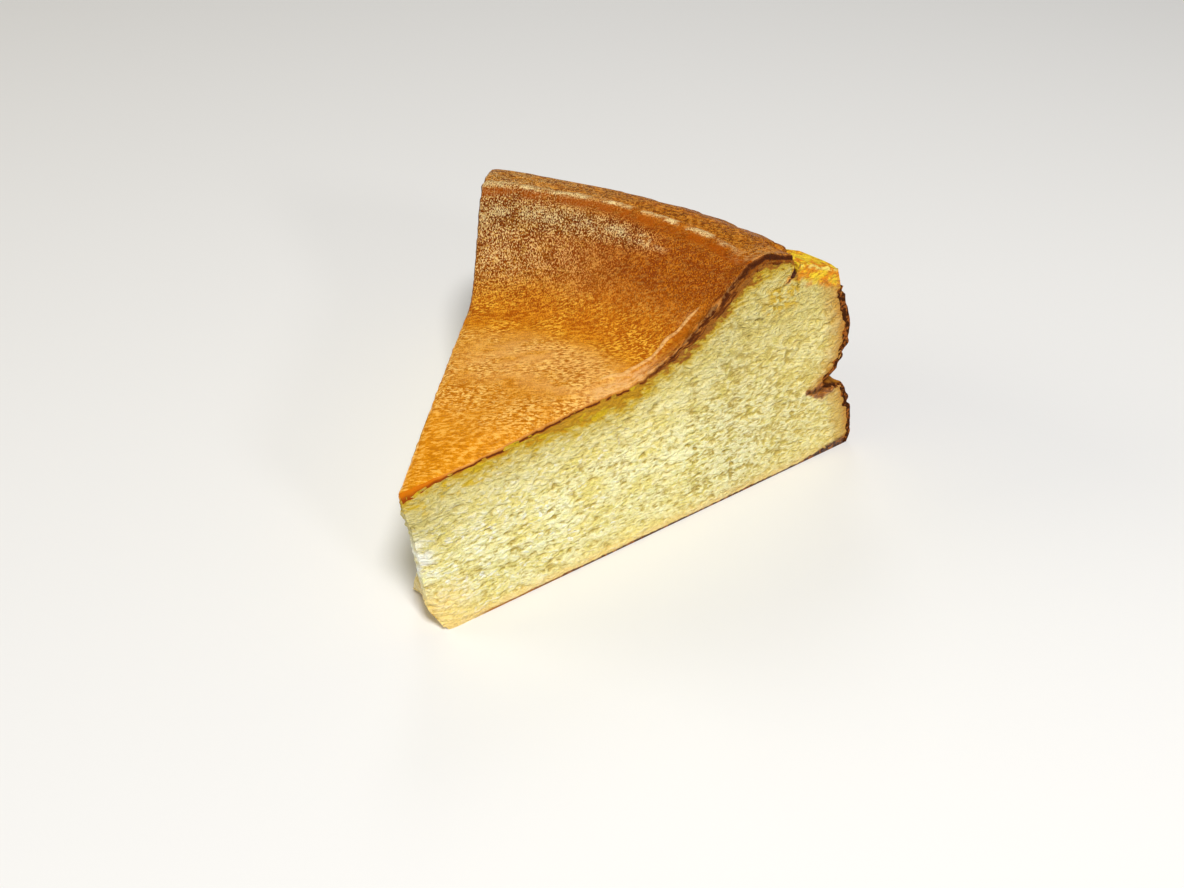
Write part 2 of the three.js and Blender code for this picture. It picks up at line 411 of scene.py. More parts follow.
def crumb_section(across, a, c):
    """A patch of points between the section's four sides.

    Returns the points, the height of the crumb's top over each, and the radius of its wall.
    """
    line, wall = crumb_outline(across)
    # Points stand closer together round the crack, and in height round the fold.
    radii = np.interp(a, [0, 0.84, 0.90, 1], [0, 82, 87, line[-1, 0]])
    base_r = np.interp(a, [0, 0.84, 0.90, 1], [0, 82, 87, wall[0, 0]])
    heights = np.interp(c, [0, 0.33, 0.50, 1], [0, 15.2, 20.4, wall[-1, 1]])
    top_z = np.interp(radii, line[:, 0], line[:, 1])
    wall_r = np.interp(heights, wall[:, 1], wall[:, 0])
    share = heights / wall[-1, 1]
    tip_z = share * top_z[0]
    tip_r = tip_set_back(tip_z, across) + 0.25
    top_p = np.stack([radii, top_z], -1)[:, None]
    base_p = np.stack([base_r, 0 * base_r], -1)[:, None]
    wall_p = np.stack([wall_r, heights], -1)[None]
    tip_p = np.stack([tip_r, tip_z], -1)[None]
    out, up = np.meshgrid(radii / radii[-1], share, indexing="ij")
    out, up = out[..., None], up[..., None]
    patch = (
        (1 - up) * base_p + up * top_p + (1 - out) * tip_p + out * wall_p
        - (1 - out) * (1 - up) * base_p[0, 0] - out * (1 - up) * base_p[-1, 0]
        - (1 - out) * up * top_p[0, 0] - out * up * top_p[-1, 0]
    )
    top_above = np.interp(patch[..., 0], line[:, 0], line[:, 1])
    wall_beyond = np.interp(patch[..., 1], wall[:, 1], wall[:, 0])
    return patch, top_above, wall_beyond


def away_from(line, r, z):
    """How far points of a section are from a bent line in it."""
    line = np.array(line, float)
    away = np.full(len(r), 99.0)
    for p, q in zip(line, line[1:]):
        way = q - p
        t = np.clip(((r - p[0]) * way[0] + (z - p[1]) * way[1]) / (way @ way), 0, 1)
        away = np.minimum(away, np.hypot(r - p[0] - t * way[0], z - p[1] - t * way[1]))
    return away


def crumb_piece(finish):
    """The cut crumb: a block bent to the cake's sections, with curds on its cut faces."""
    mesh = lattice("cheesecake_crumb", CRUMB_STEPS)
    grid = places(mesh)
    steps = np.rint((grid + 1) / 2 * np.array(CRUMB_STEPS)).astype(int)
    share = [np.linspace(0, 1, n + 1) for n in CRUMB_STEPS]
    # Sections stand closer together towards the right cut, where the edge is broken.
    acrosses = 1 - 2 * (1 - share[1]) ** 1.7
    points = np.empty_like(grid)
    depth, out, from_wall = (np.empty(len(grid)) for _ in range(3))
    for j, across in enumerate(acrosses):
        patch, top, wall = crumb_section(across, share[0], share[2])
        mine = steps[:, 1] == j
        i, k = steps[mine, 0], steps[mine, 2]
        r, z = patch[i, k, 0], patch[i, k, 1]
        points[mine] = stand(r, z, across)
        depth[mine] = top[i, k] - z
        out[mine] = r
        from_wall[mine] = wall[i, k] - r
    cut = np.where(steps[:, 1] == 0, -1, np.where(steps[:, 1] == CRUMB_STEPS[1], 1, 0))
    up = points[:, 2].copy()
    tip_face = steps[:, 0] == 0
    points, curd = curdle(points, out, depth, from_wall, cut, tip_face)
    points = round_tip(points, out, up, acrosses[steps[:, 1]])
    # The fold's closed seam: a brown stain, its dark core partly painted shade.
    tapering = mix(0.7, 2.3, ease(out, 88.5, 92))
    stain = np.where(cut == 1, hump(away_from(FOLD_SEAM, out, up), 0, tapering), 0)
    crack = np.where(cut == 1, hump(away_from(CRACK, out, up), 0, 1.3), 0) * ease(up, 42.4, 44.6)
    values = {
        "out": out,
        "up": up,
        "under_skin": depth,
        "from_wall": from_wall,
        "cut": cut,
        "curd": curd,
        "stain": stain,
        "crack": crack,
    }
    return put_down(mesh, points, values, finish)


def round_tip(points, r, z, across):
    """Rounds off the two upright edges of the blunt tip, less at its foot and where narrow."""
    width = np.linalg.norm(stand(r, z, 1) - stand(r, z, -1), axis=-1)
    from_tip = r - tip_set_back(z, across)
    inward = np.minimum(0.9, 0.22 * width) * hump(from_tip, 0, 1.1) * across * abs(across)
    inward *= mix(0.25, 1, ease(z, 0, 7))
    moved = points.copy()
    moved[:, 0] -= inward * math.cos(HALF_ANGLE)
    moved[:, 1] += abs(inward) * math.sin(HALF_ANGLE)
    return moved


def curdle(points, r, depth, from_wall, cut, tip_face):
    """Gives the cut faces their curds. Returns the points and how high each one stands."""
    z = points[:, 2]
    bent = points + 0.4 * np.stack([swells(points, 2.4, 20 + i) for i in range(3)], -1)
    big = curds(bent, (3.3, 3.3, 1.6), 1)[0]
    small = curds(bent, (1.6, 1.6, 0.95), 5)[0]
    # Roughest under the rim and a little rougher by the tip, smoother by the base.
    rough = mix(1.15, 1, ease(r, 20, 50)) * mix(0.75, 1, ease(z, 0, 8))
    rough *= mix(1, 1.35, ease(r, 50, 70))
    rough *= mix(0.7, 1.25, ease(swells(points, (14, 14, 7), 6), -0.6, 0.6))
    torn = ease(swells(points, (3.0, 3.0, 1.7), 7), 0.35, 0.75)
    curd = 0.30 * (0.5 - big**2) + 0.36 * (0.5 - small**2)
    curd = rough * (curd + 0.22 * swells(points, (1.2, 1.2, 0.8), 2) - 0.3 * torn)
    relief = curd + 0.25 * swells(points, (9, 9, 6), 3)
    # The relief fades out by the base, and nearly so by the wall and under the skin.
    calm = ease(z, 0, 1.4) * mix(0.25, 1, ease(depth, 0.4, 2.4))
    calm *= mix(0.2, 1, ease(from_wall, 0.5, 2.5))
    # The foot of the side is closer baked, so smoother.
    calm *= 1 - 0.6 * (1 - ease(from_wall, 3, 6)) * (1 - ease(z, 13, 16))
    relief *= calm
    relief -= np.where(cut == 1, 0.9 * hump(away_from(CRACK, r, z), 0, 0.3), 0)
    relief -= np.where(cut == 1, 0.7 * hump(away_from(FOLD_SEAM[:2], r, z), 0, 0.35), 0)
    moved = points.copy()
    moved[:, 0] += relief * cut * math.cos(HALF_ANGLE)
    moved[:, 1] -= relief * abs(cut) * math.sin(HALF_ANGLE)
    # The blunt tip is rough like the cuts.
    moved[:, 1] -= 0.5 * curd * calm * tip_face
    # The bare top of the ledge is broken too.
    bare = ease(r, 85.2, 86.2) * (depth < 0.01)
    moved[:, 2] += bare * (0.4 * swells(points, 2.2, 8) + 0.3 * swells(points, 1.1, 9))
    return moved, curd


# ---------------------------------------------------------------- the browned skin

SKIN_ROWS = (188, 30, 88)  # over the top, round the shoulder, down the side
SKIN_STEPS = (sum(SKIN_ROWS), 144, 4)  # along those rows, across between the cuts, and through


def skin_line(across):
    """The outside of the skin in one section, from the tip out and down to the base."""
    r = np.linspace(0.12, SKIN_END, SKIN_ROWS[0] + 1)
    top = np.column_stack([r, top_height(r, across)])
    shoulder = shoulder_line(across, SKIN_ROWS[1])[1:]
    side = side_line(across, SKIN_ROWS[2])[1:]
    return np.vstack([top, shoulder, side])


def past_crest(outer, r, across):
    """How far out a place is from the pale line along the crest of the rim."""
    return r - RIGHT_TOP[2] + 1.8 * across**2 - 0.5 * swells(outer, 12, 14)


def top_relief(outer, r, across, right, left):
    """How far the browned top stands proud of its plain shape."""
    inner = ease(right, 0.5, 4)
    relief = inner * (0.28 * swells(outer, 13, 11) + 0.10 * swells(outer, 4.5, 12))
    relief += 0.07 * swells(outer, 1.7, 13) * ease(r, 50, 62)
    # A crease in the skin runs alongside the right cut, and another just inside the crest.
    fold_r = ease(r, 38, 47) * (1 - ease(r, 60, 67))
    wander = 0.35 * np.sin(0.35 * r) + 0.2 * np.sin(0.9 * r + 1) + 0.3 * swells(outer, 2.5, 27)
    relief += 0.55 * fold_r * hump(right, 2.7 + wander, 0.42)
    relief -= 0.4 * fold_r * hump(right, 1.8 + wander, 0.6)
    away = ease(right, 4, 12)
    crest = past_crest(outer, r, across)
    relief -= away * 0.32 * hump(crest, -2.1, 0.9)
    relief += away * 0.30 * hump(crest, 0, 0.7) * (0.8 + 0.7 * swells(outer, 3.5, 23))
    # The cut edges are a little ragged.
    ragged = swells(outer, 1.8, 21) + 0.6 * swells(outer, 0.9, 22)
    past_tip = ease(r, 0.5, 3)
    ragged *= past_tip * mix(0.5, 1, ease(r, 36, 50))
    relief += 0.26 * ragged * (hump(right, 0, 0.7) + hump(left, 0, 0.7))
    return relief - past_tip * (0.3 * hump(right, 0, 0.35) + 0.4 * hump(left, 0, 0.8))


def side_relief(outer, z, right):
    """How far the crust on the side stands proud: lumps, and creases left by the paper."""
    seams = curds(outer, (7, 7, 11), 17)[1]
    lumps = (
        0.32 * swells(outer, (5, 5, 9), 15)
        + 0.30 * swells(outer, 2.2, 16)
        + 0.16 * swells(outer, 1.5, 24)
        - 0.35 * (1 - ease(seams, 0.02, 0.16))
    )
    return lumps * ease(z, 0.4, 3) * mix(1.9, 1, ease(right, 0, 4))


def skin_piece(finish):
    """The browned skin: a thin slab that runs over the top, the shoulder and the side."""
    mesh = lattice("browned_skin", SKIN_STEPS)
    grid = places(mesh)
    steps = np.rint((grid + 1) / 2 * np.array(SKIN_STEPS)).astype(int)
    spread = np.linspace(-1, 1, SKIN_STEPS[1] + 1)
    acrosses = np.sin(spread * math.pi / 2) * 0.3 + spread * 0.7
    rows = SKIN_STEPS[0] + 1
    shape = (rows, len(acrosses))
    line = np.empty(shape + (2,))
    way = np.empty(shape + (2,))
    for j, across in enumerate(acrosses):
        line[:, j] = skin_line(across)
        way[:, j] = inwards(line[:, j])
    across = np.broadcast_to(acrosses, shape)
    row = np.arange(rows)[:, None] + np.zeros(shape)
    top_row, shoulder_row = SKIN_ROWS[0], SKIN_ROWS[0] + SKIN_ROWS[1]
    r, z = line[..., 0], line[..., 1]
    outer = stand(r, z, across)
    on_top = 1 - ease(row, top_row - 12, top_row + 14)
    on_side = ease(row, top_row + 6, shoulder_row)
    right = r * HALF_ANGLE * (1 - across)
    left = r * HALF_ANGLE * (1 + across)
    relief = on_top * top_relief(outer, r, across, right, left)
    # By the left cut the side's hollows stay shallow.
    deepest = -mix(0.3, 2, ease(left, 0, 2.5))
    relief += on_side * np.maximum(side_relief(outer, z, right), deepest)
    # The skin goes down behind the broken ledge, and comes out again on the wall.
    broken = ease(across, *LEDGE_REACH) + 0.35 * swells(outer, 4, 18) * (across < 0.93)
    hidden = ease(broken, 0.3, 0.6) * ease(row, top_row - 1.5, top_row + 1.5)
    hidden *= 1 - ease(row, shoulder_row - 3, shoulder_row + 1)
    relief -= 3.4 * hidden
    # Thicker at the tip and under the curled edge of the rim.
    thickness = SKIN * (1 + 0.25 * swells(outer, 6, 19) + 0.3 * swells(outer, 1.8, 26))
    thickness += 1.8 * hump(right, 0, 3) * hump(r, 72, 11) * on_top
    thickness += 1.3 * (1 - ease(r, 2, 9))
    thickness += hump(right, 0, 3) * on_side * (0.3 + 0.6 * ease(z, 19, 22))
    thickness *= 1 - 0.5 * on_side * hump(z, 17.6, 1.5)
    i, j, layer = steps[:, 0], steps[:, 1], steps[:, 2] / SKIN_STEPS[2]
    lift = relief[i, j] - (1 - layer) * thickness[i, j]
    p = line[i, j] - way[i, j] * lift[:, None]
    at_cut = (j == 0) | (j == SKIN_STEPS[1])
    # Each cut edge of the skin is rounded, a little hollow, and stands just proud.
    rounding = 0.22 * np.abs(2 * layer - 1) ** 4 + 0.10 * hump(layer, 0.5, 0.25)
    uneven = (0.15 * swells(outer, 1.6, 25) + 0.2 * hump(r, 68, 14) * swells(outer, 2.8, 28))[i, j]
    inset = np.where(at_cut, rounding + uneven - SKIN_PROUD, 0) * (1 - hidden[i, j])
    inset += 2.2 * hidden[i, j] * ease(acrosses[j], 0.9, 1.0)
    points = stand(p[:, 0], np.maximum(p[:, 1], 0), acrosses[j], inset)
    # The skin's point stands back a little with the rounded tip.
    points[:, 1] += 0.25 * (1 - ease(r[i, j], 0, 9))
    values = {
        "out": r[i, j],
        "arc": (r * across * HALF_ANGLE)[i, j],
        "from_right": right[i, j],
        "from_left": left[i, j],
        "face": layer,
        "side": on_side[i, j],
        "at_cut": at_cut.astype(float),
        "relief": relief[i, j],
        "past_crest": past_crest(outer, r, across)[i, j],
    }
    return put_down(mesh, points, values, finish)


# ---------------------------------------------------------------- finishes


class Value:
    """A socket that expressions are written on: each operator adds its Math node."""

    def __init__(self, finish, socket):
        self.finish = finish
        self.socket = socket

    def __add__(self, other):
        return self.finish.math("ADD", self, other)

    def __sub__(self, other):
        return self.finish.math("SUBTRACT", self, other)

    def __rsub__(self, other):
        return self.finish.math("SUBTRACT", other, self)

    def __mul__(self, other):
        return self.finish.math("MULTIPLY", self, other)

    def __truediv__(self, other):
        return self.finish.math("DIVIDE", self, other)

    __radd__ = __add__
    __rmul__ = __mul__


class Finish:
    """One material and the nodes that make it."""

    def __init__(self, name):
        self.material = bpy.data.materials.new(name)
        self.material.use_nodes = True
        self.tree = self.material.node_tree
        self.tree.nodes.clear()

    def node(self, kind, settings=(), inputs=(), output=0):
        """Adds a node: its settings first, then the values or links of its sockets."""
        made = self.tree.nodes.new(kind)
        for name, value in dict(settings).items():
            if name == "stops":
                self.fill_ramp(made.color_ramp, value)
            else:
                setattr(made, name, value)
        for name, value in dict(inputs).items():
            if isinstance(value, Value):
                self.tree.links.new(value.socket, made.inputs[name])
            else:
                made.inputs[name].default_value = value
        return Value(self, made.outputs[output]) if made.outputs else made

    @staticmethod
    def fill_ramp(ramp, stops):
        while len(ramp.elements) < len(stops):
            ramp.elements.new(1)
        for element, (place, colour) in zip(ramp.elements, stops):
            element.position = place
            element.color = colour

    def math(self, operation, *values):
        return self.node("ShaderNodeMath", {"operation": operation}, enumerate(values))

    def value(self, name):
        """A number that the piece's mesh carries."""
        return self.node("ShaderNodeAttribute", {"attribute_name": name}, output="Fac")

    def place(self):
        """Where each point of the surface is, in millimetres."""
        here = self.node("ShaderNodeTexCoord", output="Object")
        return self.stretch(here, (1 / MM, 1 / MM, 1 / MM))

    def stretch(self, vector, by):
        """Makes a pattern that much finer along each axis."""
        return self.node("ShaderNodeVectorMath", {"operation": "MULTIPLY"}, {0: vector, 1: by})

    def vector(self, x, y):
        return self.node("ShaderNodeCombineXYZ", inputs={0: x, 1: y})

    def noise(self, vector, size, detail=2.0, roughness=0.5):
        """Clouds from 0 to 1, about size millimetres wide."""
        inputs = {"Vector": vector, "Scale": 1 / size, "Detail": detail, "Roughness": roughness}
        return self.node("ShaderNodeTexNoise", inputs=inputs)

    def patches(self, vector, size, detail, start, end, roughness=0.5):
        """The same clouds with soft edges: 0 where they are below start, 1 above end."""
        return self.fade(self.noise(vector, size, detail, roughness), start, end)

    def cells(self, vector, size):
        """Distance to the nearest of scattered points about size millimetres apart."""
        return self.node("ShaderNodeTexVoronoi", inputs={"Vector": vector, "Scale": 1 / size})

    def turned(self, vector, degrees, scale):
        """Turns a pattern about the upright axis, and makes it that many times larger."""
        inputs = {"Vector": vector, "Rotation": (0, 0, math.radians(degrees)), "Scale": scale}
        return self.node("ShaderNodeMapping", {"vector_type": "TEXTURE"}, inputs)

    def fade(self, value, start, end):
        """0 at start and 1 at end, smooth between."""
        return self.node(
            "ShaderNodeMapRange",
            {"interpolation_type": "SMOOTHSTEP"},
            {"Value": value, "From Min": start, "From Max": end},
        )

    def gone(self, value, start, end):
        """1 at start and 0 at end."""
        return 1 - self.fade(value, start, end)

    def within(self, value, start, full, last, end):
        """1 from full to last, and 0 before start and after end."""
        return self.fade(value, start, full) * self.gone(value, last, end)

    def blend(self, share, first, second, kind="MIX"):
        """The first colour, with that share of the second."""
        settings = {"data_type": "RGBA", "blend_type": kind}
        return self.node("ShaderNodeMix", settings, {0: share, 6: first, 7: second}, output=2)

    def ramp(self, value, stops):
        """A colour for each value: stops give the value and its colour."""
        low_stop, high_stop = stops[0][0], stops[-1][0]
        reach = high_stop - low_stop
        shares = [((place - low_stop) / reach, colour) for place, colour in stops]
        return self.node(
            "ShaderNodeValToRGB", {"stops": shares}, {0: (value - low_stop) / reach}
        )

    def bump(self, height, depth, under=None):
        """Bumps of that many millimetres for a height of 1."""
        inputs = {"Height": height, "Distance": depth * MM, "Strength": 1.0}
        if under:
            inputs["Normal"] = under
        return self.node("ShaderNodeBump", inputs=inputs)

    def done(self, **sockets):
        """Ends the material with its shader, and returns it."""
        shader = self.node(
            "ShaderNodeBsdfPrincipled",
            inputs={name.replace("_", " "): value for name, value in sockets.items()},
        )
        self.node("ShaderNodeOutputMaterial", inputs={"Surface": shader})
        return self.material


def shade(red, green, blue):
    """A colour as a painter would read it off a swatch, 0 to 255, made linear."""

    def linear(level):
        level /= 255
        return level / 12.92 if level < 0.04045 else ((level + 0.055) / 1.055) ** 2.4

    return (linear(red), linear(green), linear(blue), 1)


def crumb_finish():
    f = Finish("baked_cream_cheese")
    here = f.place()
    flat = f.stretch(here, (1, 1, 1.9))  # curds are wider than they are high
    out, up, depth, cut = (f.value(n) for n in ("out", "up", "under_skin", "cut"))
    from_wall, curd, stain, crack = (f.value(n) for n in ("from_wall", "curd", "stain", "crack"))
    on_cut = f.fade(f.math("ABSOLUTE", cut), 0.2, 0.8)
    on_right_cut = f.fade(cut, 0.3, 0.9)
    wander = f.noise(flat, 3.2, 3)
    fine = f.noise(flat, 1.1, 3)
    colour = f.blend(f.patches(flat, 7, 3, 0.35, 0.65), shade(252, 246, 186), shade(243, 227, 134))

    # Painted shade and highlights on the curds: deeper yellow in the hollows between them, whiter
    # on their tops.
    gap = f.cells(flat, 1.1)
    lump = f.noise(flat, 0.9, 3, 0.6) + (f.noise(flat, 2.4, 2) - 0.5) * 0.4 - gap * gap * 0.35
    deep = f.fade(out, 50, 70) * 0.1
    curd_hollow_shade = f.gone(curd * 0.7 + lump, deep + 0.14, deep + 0.52)
    colour = f.blend(curd_hollow_shade * (0.7 + f.fade(cut, 0, 1) * 0.3), colour, shade(188, 162, 72))
    # Painted highlight: the curds' tops whiter, a little more so low on the right.
    low_right = f.fade(out, 50, 64) * f.gone(up, 14, 28)
    curd_top_highlight = f.fade(curd * 0.5 + lump + low_right * 0.07, 0.5, 0.68)
    curd_highlight_colour = f.blend(f.fade(out, 10, 40), shade(255, 253, 228), shade(255, 250, 200))
    colour = f.blend(curd_top_highlight * 0.85, colour, curd_highlight_colour)
    colour = f.blend(f.fade(up, 12, 40), colour, (0.95, 0.89, 0.78, 1), "MULTIPLY")
    colour = f.blend(f.gone(out, 8, 40), colour, (0.96, 0.97, 0.96, 1), "MULTIPLY")
    # Painted highlights: white glints on the crumb, most towards the tip.
    sheen = f.noise(f.stretch(here, (1, 1, 2.2)), 1.5, 3) + f.gone(out, 9, 18) * 0.05
    glint = f.fade(sheen + (fine - 0.5) * 0.2, 0.57, 0.68)
    glint = glint * f.patches(flat, 6, 2, 0.42, 0.58) * f.gone(out, 30, 60)
    colour = f.blend(glint * 0.85, colour, shade(255, 254, 240))
    colour = f.blend(f.patches(flat, 2.4, 2, 0.5, 0.62) * 0.3, colour, shade(250, 234, 172))
    green = f.patches(f.stretch(here, (1, 1, 1.5)), 1.9, 2, 0.54, 0.66)
    colour = f.blend(green * 0.3, colour, shade(220, 210, 96))

    # Warmer towards the rim and by the base, and more olive higher up; at the tip, painted shade
    # high up, a painted glint lower down and painted warm bounced light at its foot.
    colour = f.blend(f.fade(out, 62, 96) * 0.4, colour, shade(246, 220, 116))
    colour = f.blend(f.fade(up - out * 0.12, 14, 28) * 0.4, colour, shade(208, 194, 118))
    colour = f.blend(f.gone(up, 0.5, 7) * 0.4, colour, shade(250, 224, 132))
    ragged_base = f.gone(up + (fine - 0.5) * 2, 0.8, 2.6)
    colour = f.blend(ragged_base * 0.5, colour, shade(248, 206, 122))
    at_tip = f.gone(out, 1, 14)
    # Painted shade high up at the tip, and painted warm bounced light at its foot.
    colour = f.blend(at_tip * f.fade(up, 16, 26) * 0.5, colour, shade(188, 176, 104))
    colour = f.blend(at_tip * f.gone(up, 6, 14) * 0.75, colour, shade(255, 216, 122))
    # A painted glint at mid height by the tip.
    tip_glint = f.gone(out, 2, 5) * f.within(up, 11, 15, 19, 24) * f.fade(wander, 0.38, 0.55)
    colour = f.blend(tip_glint * 0.8, colour, shade(255, 255, 244))
    colour = f.blend(f.gone(depth, 2, 10) * 0.35, colour, shade(206, 182, 96))

    # The golden band under the skin, deeper and thicker on the slope, and its olive spots.
    near = depth + (f.noise(flat, 2.2, 3) - 0.5) * 6 + (lump - 0.4) * 3
    near = near - f.within(out, 48, 62, 74, 82)
    near = near + f.gone(out, 6, 16) * 1.2 - f.within(out, 22, 34, 44, 54) * 1.8
    colour = f.blend(f.gone(near, 1.0, 4.4) * 0.92, colour, shade(198, 160, 0))
    deep_gold = f.blend(f.fade(out, 46, 56), shade(186, 132, 0), shade(150, 80, 0))
    colour = f.blend(f.gone(near, 0.3, 1.9) * 0.9, colour, deep_gold)
    spots = f.patches(flat, 3.0, 2, 0.53, 0.62, 0.4) * f.gone(depth, 3, 6.5) * f.gone(out, 44, 60)
    colour = f.blend(spots * 0.9, colour, shade(204, 168, 4))

    # Toasted by the wall, on the ledge, round the fold and along the crack; the fold's dark seam
    # and the crack's dark line are partly painted shade, and the ledge's top edge has a painted
    # highlight.
    near_wall = f.gone(from_wall + wander * 4 + lump * 2 - 3, 0.5, 6.5)
    baked = f.blend(f.gone(up, 8, 15), shade(206, 150, 52), shade(206, 154, 40))
    colour = f.blend(near_wall * 0.85, colour, baked)
    smooth_foot = f.gone(from_wall + wander * 3, 4, 7) * f.within(up, 1.5, 4, 12, 15)
    colour = f.blend(smooth_foot * 0.7, colour, shade(220, 184, 90))
    by_wall = f.gone(from_wall + wander * 3 - 1.5, 0.2, 2.4)
    colour = f.blend(by_wall * 0.75, colour, shade(200, 132, 34))
    ledge = f.fade(out, 84.4, 85.6) * f.gone(depth + wander * 4 - 2, 2.2, 4.6)
    browning = f.noise(here, 2.2, 3, 0.6) - on_right_cut * 0.05
    toast = f.blend(f.fade(browning, 0.38, 0.53), shade(234, 142, 0), shade(255, 212, 36))
    # A painted highlight along the ledge's top edge.
    ledge_edge_highlight = f.gone(depth, 0.2, 0.8) * on_right_cut * f.patches(here, 1.4, 3, 0.42, 0.56, 0.6)
    toast = f.blend(ledge_edge_highlight * 0.8, toast, shade(255, 234, 120))
    colour = f.blend(ledge * 0.95, colour, toast)
    # Brown stain round the fold, its dark core partly painted shade of the seam.
    stained_and_shaded = f.fade(stain + wander * 0.5 + fine * 0.5 - 0.5, 0.2, 0.75)
    brown = f.blend(f.fade(fine + stain * 0.15, 0.46, 0.66), shade(202, 118, 28), shade(136, 66, 6))
    colour = f.blend(stained_and_shaded * 0.9, colour, brown)
    below_crack = f.within(out, 75, 79, 84, 87) * f.within(up, 36, 40, 43, 45)
    flecks = below_crack * f.patches(here, 1.6, 3, 0.44, 0.55)
    colour = f.blend(flecks * 0.85, colour, shade(212, 170, 22))
    # The crack: orange toasting, and a dark line that is partly browning and partly painted shade.
    split = f.noise(here, 1.2, 3, 0.6)
    colour = f.blend(f.fade(crack * split, 0.22, 0.4) * 0.8, colour, shade(226, 140, 30))
    colour = f.blend(f.fade(crack * (split + 0.4), 0.6, 0.78), colour, shade(84, 36, 5))

    # The browned line along the base, thicker at the foot of the rim and paler by the tip.
    reach = f.fade(out, 85, 96) * 1.8 + f.patches(flat, 6, 2, 0.4, 0.7) * 0.3
    line = f.gone(up + (fine - 0.5) * (0.5 + reach * 0.8), reach * 0.6 + 0.25, reach + 0.6)
    burnt = f.blend(f.patches(here, 0.9, 2, 0.5, 0.6), shade(72, 34, 6), shade(156, 92, 24))
    burnt = f.blend(f.gone(out, 12, 40), burnt, shade(172, 110, 26))
    colour = f.blend(line * f.fade(out, 8, 13) * on_cut, colour, burnt)
    browned = f.patches(here, 8, 4, 0.35, 0.65, 0.6)
    browned = f.blend(browned, shade(168, 104, 38), shade(206, 150, 72))
    underneath = (1 - on_cut) * f.gone(up, 0.05, 0.3)
    colour = f.blend(underneath, colour, browned)
    wet = f.patches(flat, 3.5, 2, 0.4, 0.65)
    return f.done(
        Base_Color=colour,
        Roughness=0.5 - wet * 0.2 + f.gone(near, 1, 4) * 0.4,
        Normal=f.bump(lump, 0.8 + f.fade(out, 50, 70) * 0.3),
        IOR=1.4,
        Subsurface_Weight=0.1,
        Subsurface_Radius=(1.0, 0.75, 0.35),
        Subsurface_Scale=0.0006,
    )


